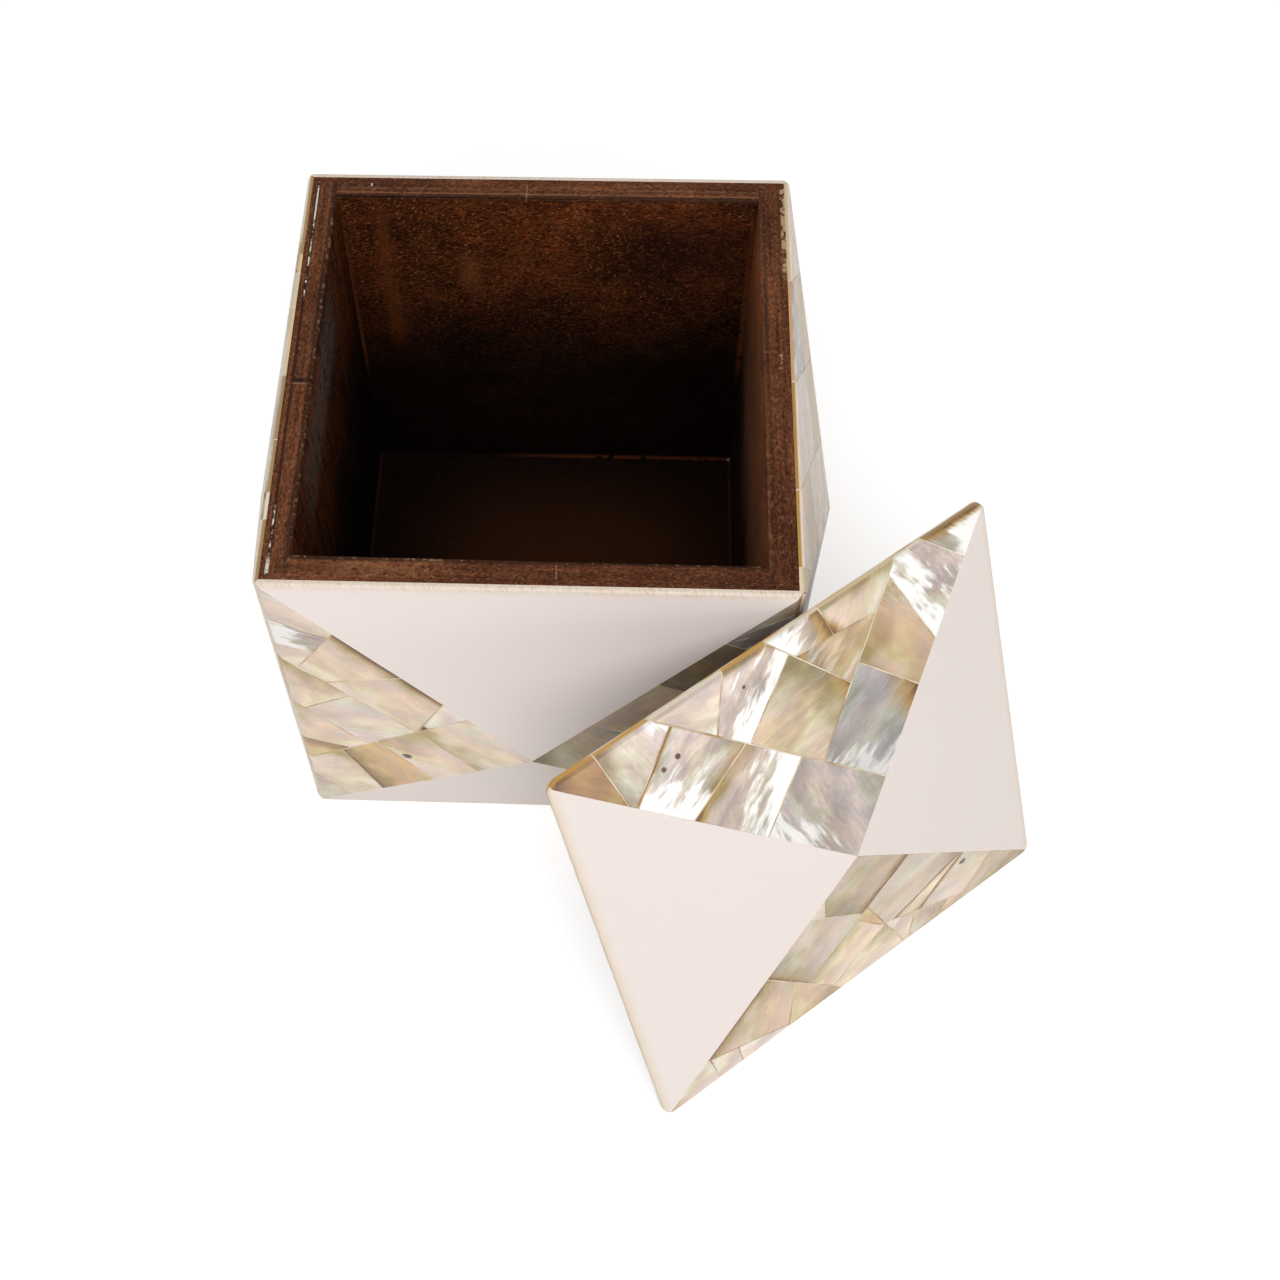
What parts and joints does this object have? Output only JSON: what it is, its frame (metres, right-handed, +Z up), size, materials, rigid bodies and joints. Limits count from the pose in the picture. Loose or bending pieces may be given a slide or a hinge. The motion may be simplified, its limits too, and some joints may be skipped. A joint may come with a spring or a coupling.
{
  "type": "inlaid wooden box",
  "caption": "Cube box with a lift-off lid. Each side and the lid is a low pyramid clad in cream resin and shell mosaic, over a dark stained fibreboard carcass.",
  "frame": {"origin": "middle of the box's base, on the surface that it stands on", "axes": "+Z up, +X to the right along the front, and the front faces -Y. The lid leans on the front right corner"},
  "size_m": [0.2031, 0.2158, 0.1145],
  "materials": {
    "fibreboard": "fibreboard stained dark brown, matt",
    "cream_resin": "cast cream resin, sanded and polished to a satin",
    "shell": "polished mother of pearl, from silver white to gold and olive",
    "filler": "resin filler sanded flush with the tiles"
  },
  "bodies": {
    "box": {"back_bottom_plate": "cream_resin", "back_facet_block": "fibreboard", "back_left_filler": "filler", "back_left_tiles": "shell", "back_right_filler": "filler", "back_right_tiles": "shell", "back_top_plate": "cream_resin", "back_wall_board": "fibreboard", "floor_board": "fibreboard", "front_bottom_plate": "cream_resin", "front_facet_block": "fibreboard", "front_left_filler": "filler", "front_left_tiles": "shell", "front_right_filler": "filler", "front_right_tiles": "shell", "front_top_plate": "cream_resin", "front_wall_board": "fibreboard", "left_back_plate": "cream_resin", "left_bottom_filler": "filler", "left_bottom_tiles": "shell", "left_facet_block": "fibreboard", "left_front_plate": "cream_resin", "left_top_filler": "filler", "left_top_tiles": "shell", "left_wall_board": "fibreboard", "right_back_plate": "cream_resin", "right_bottom_filler": "filler", "right_bottom_tiles": "shell", "right_facet_block": "fibreboard", "right_front_plate": "cream_resin", "right_top_filler": "filler", "right_top_tiles": "shell", "right_wall_board": "fibreboard"},
    "lid": {"lid_back_filler": "filler", "lid_back_tiles": "shell", "lid_core": "fibreboard", "lid_front_filler": "filler", "lid_front_tiles": "shell", "lid_left_plate": "cream_resin", "lid_plug": "fibreboard", "lid_right_plate": "cream_resin"}
  },
  "joints": [
    {"name": "lid_lift", "type": "slide", "parent": "box", "child": "lid", "axis": [0, 0, 1], "range_m": [0, 0.13]}
  ]
}
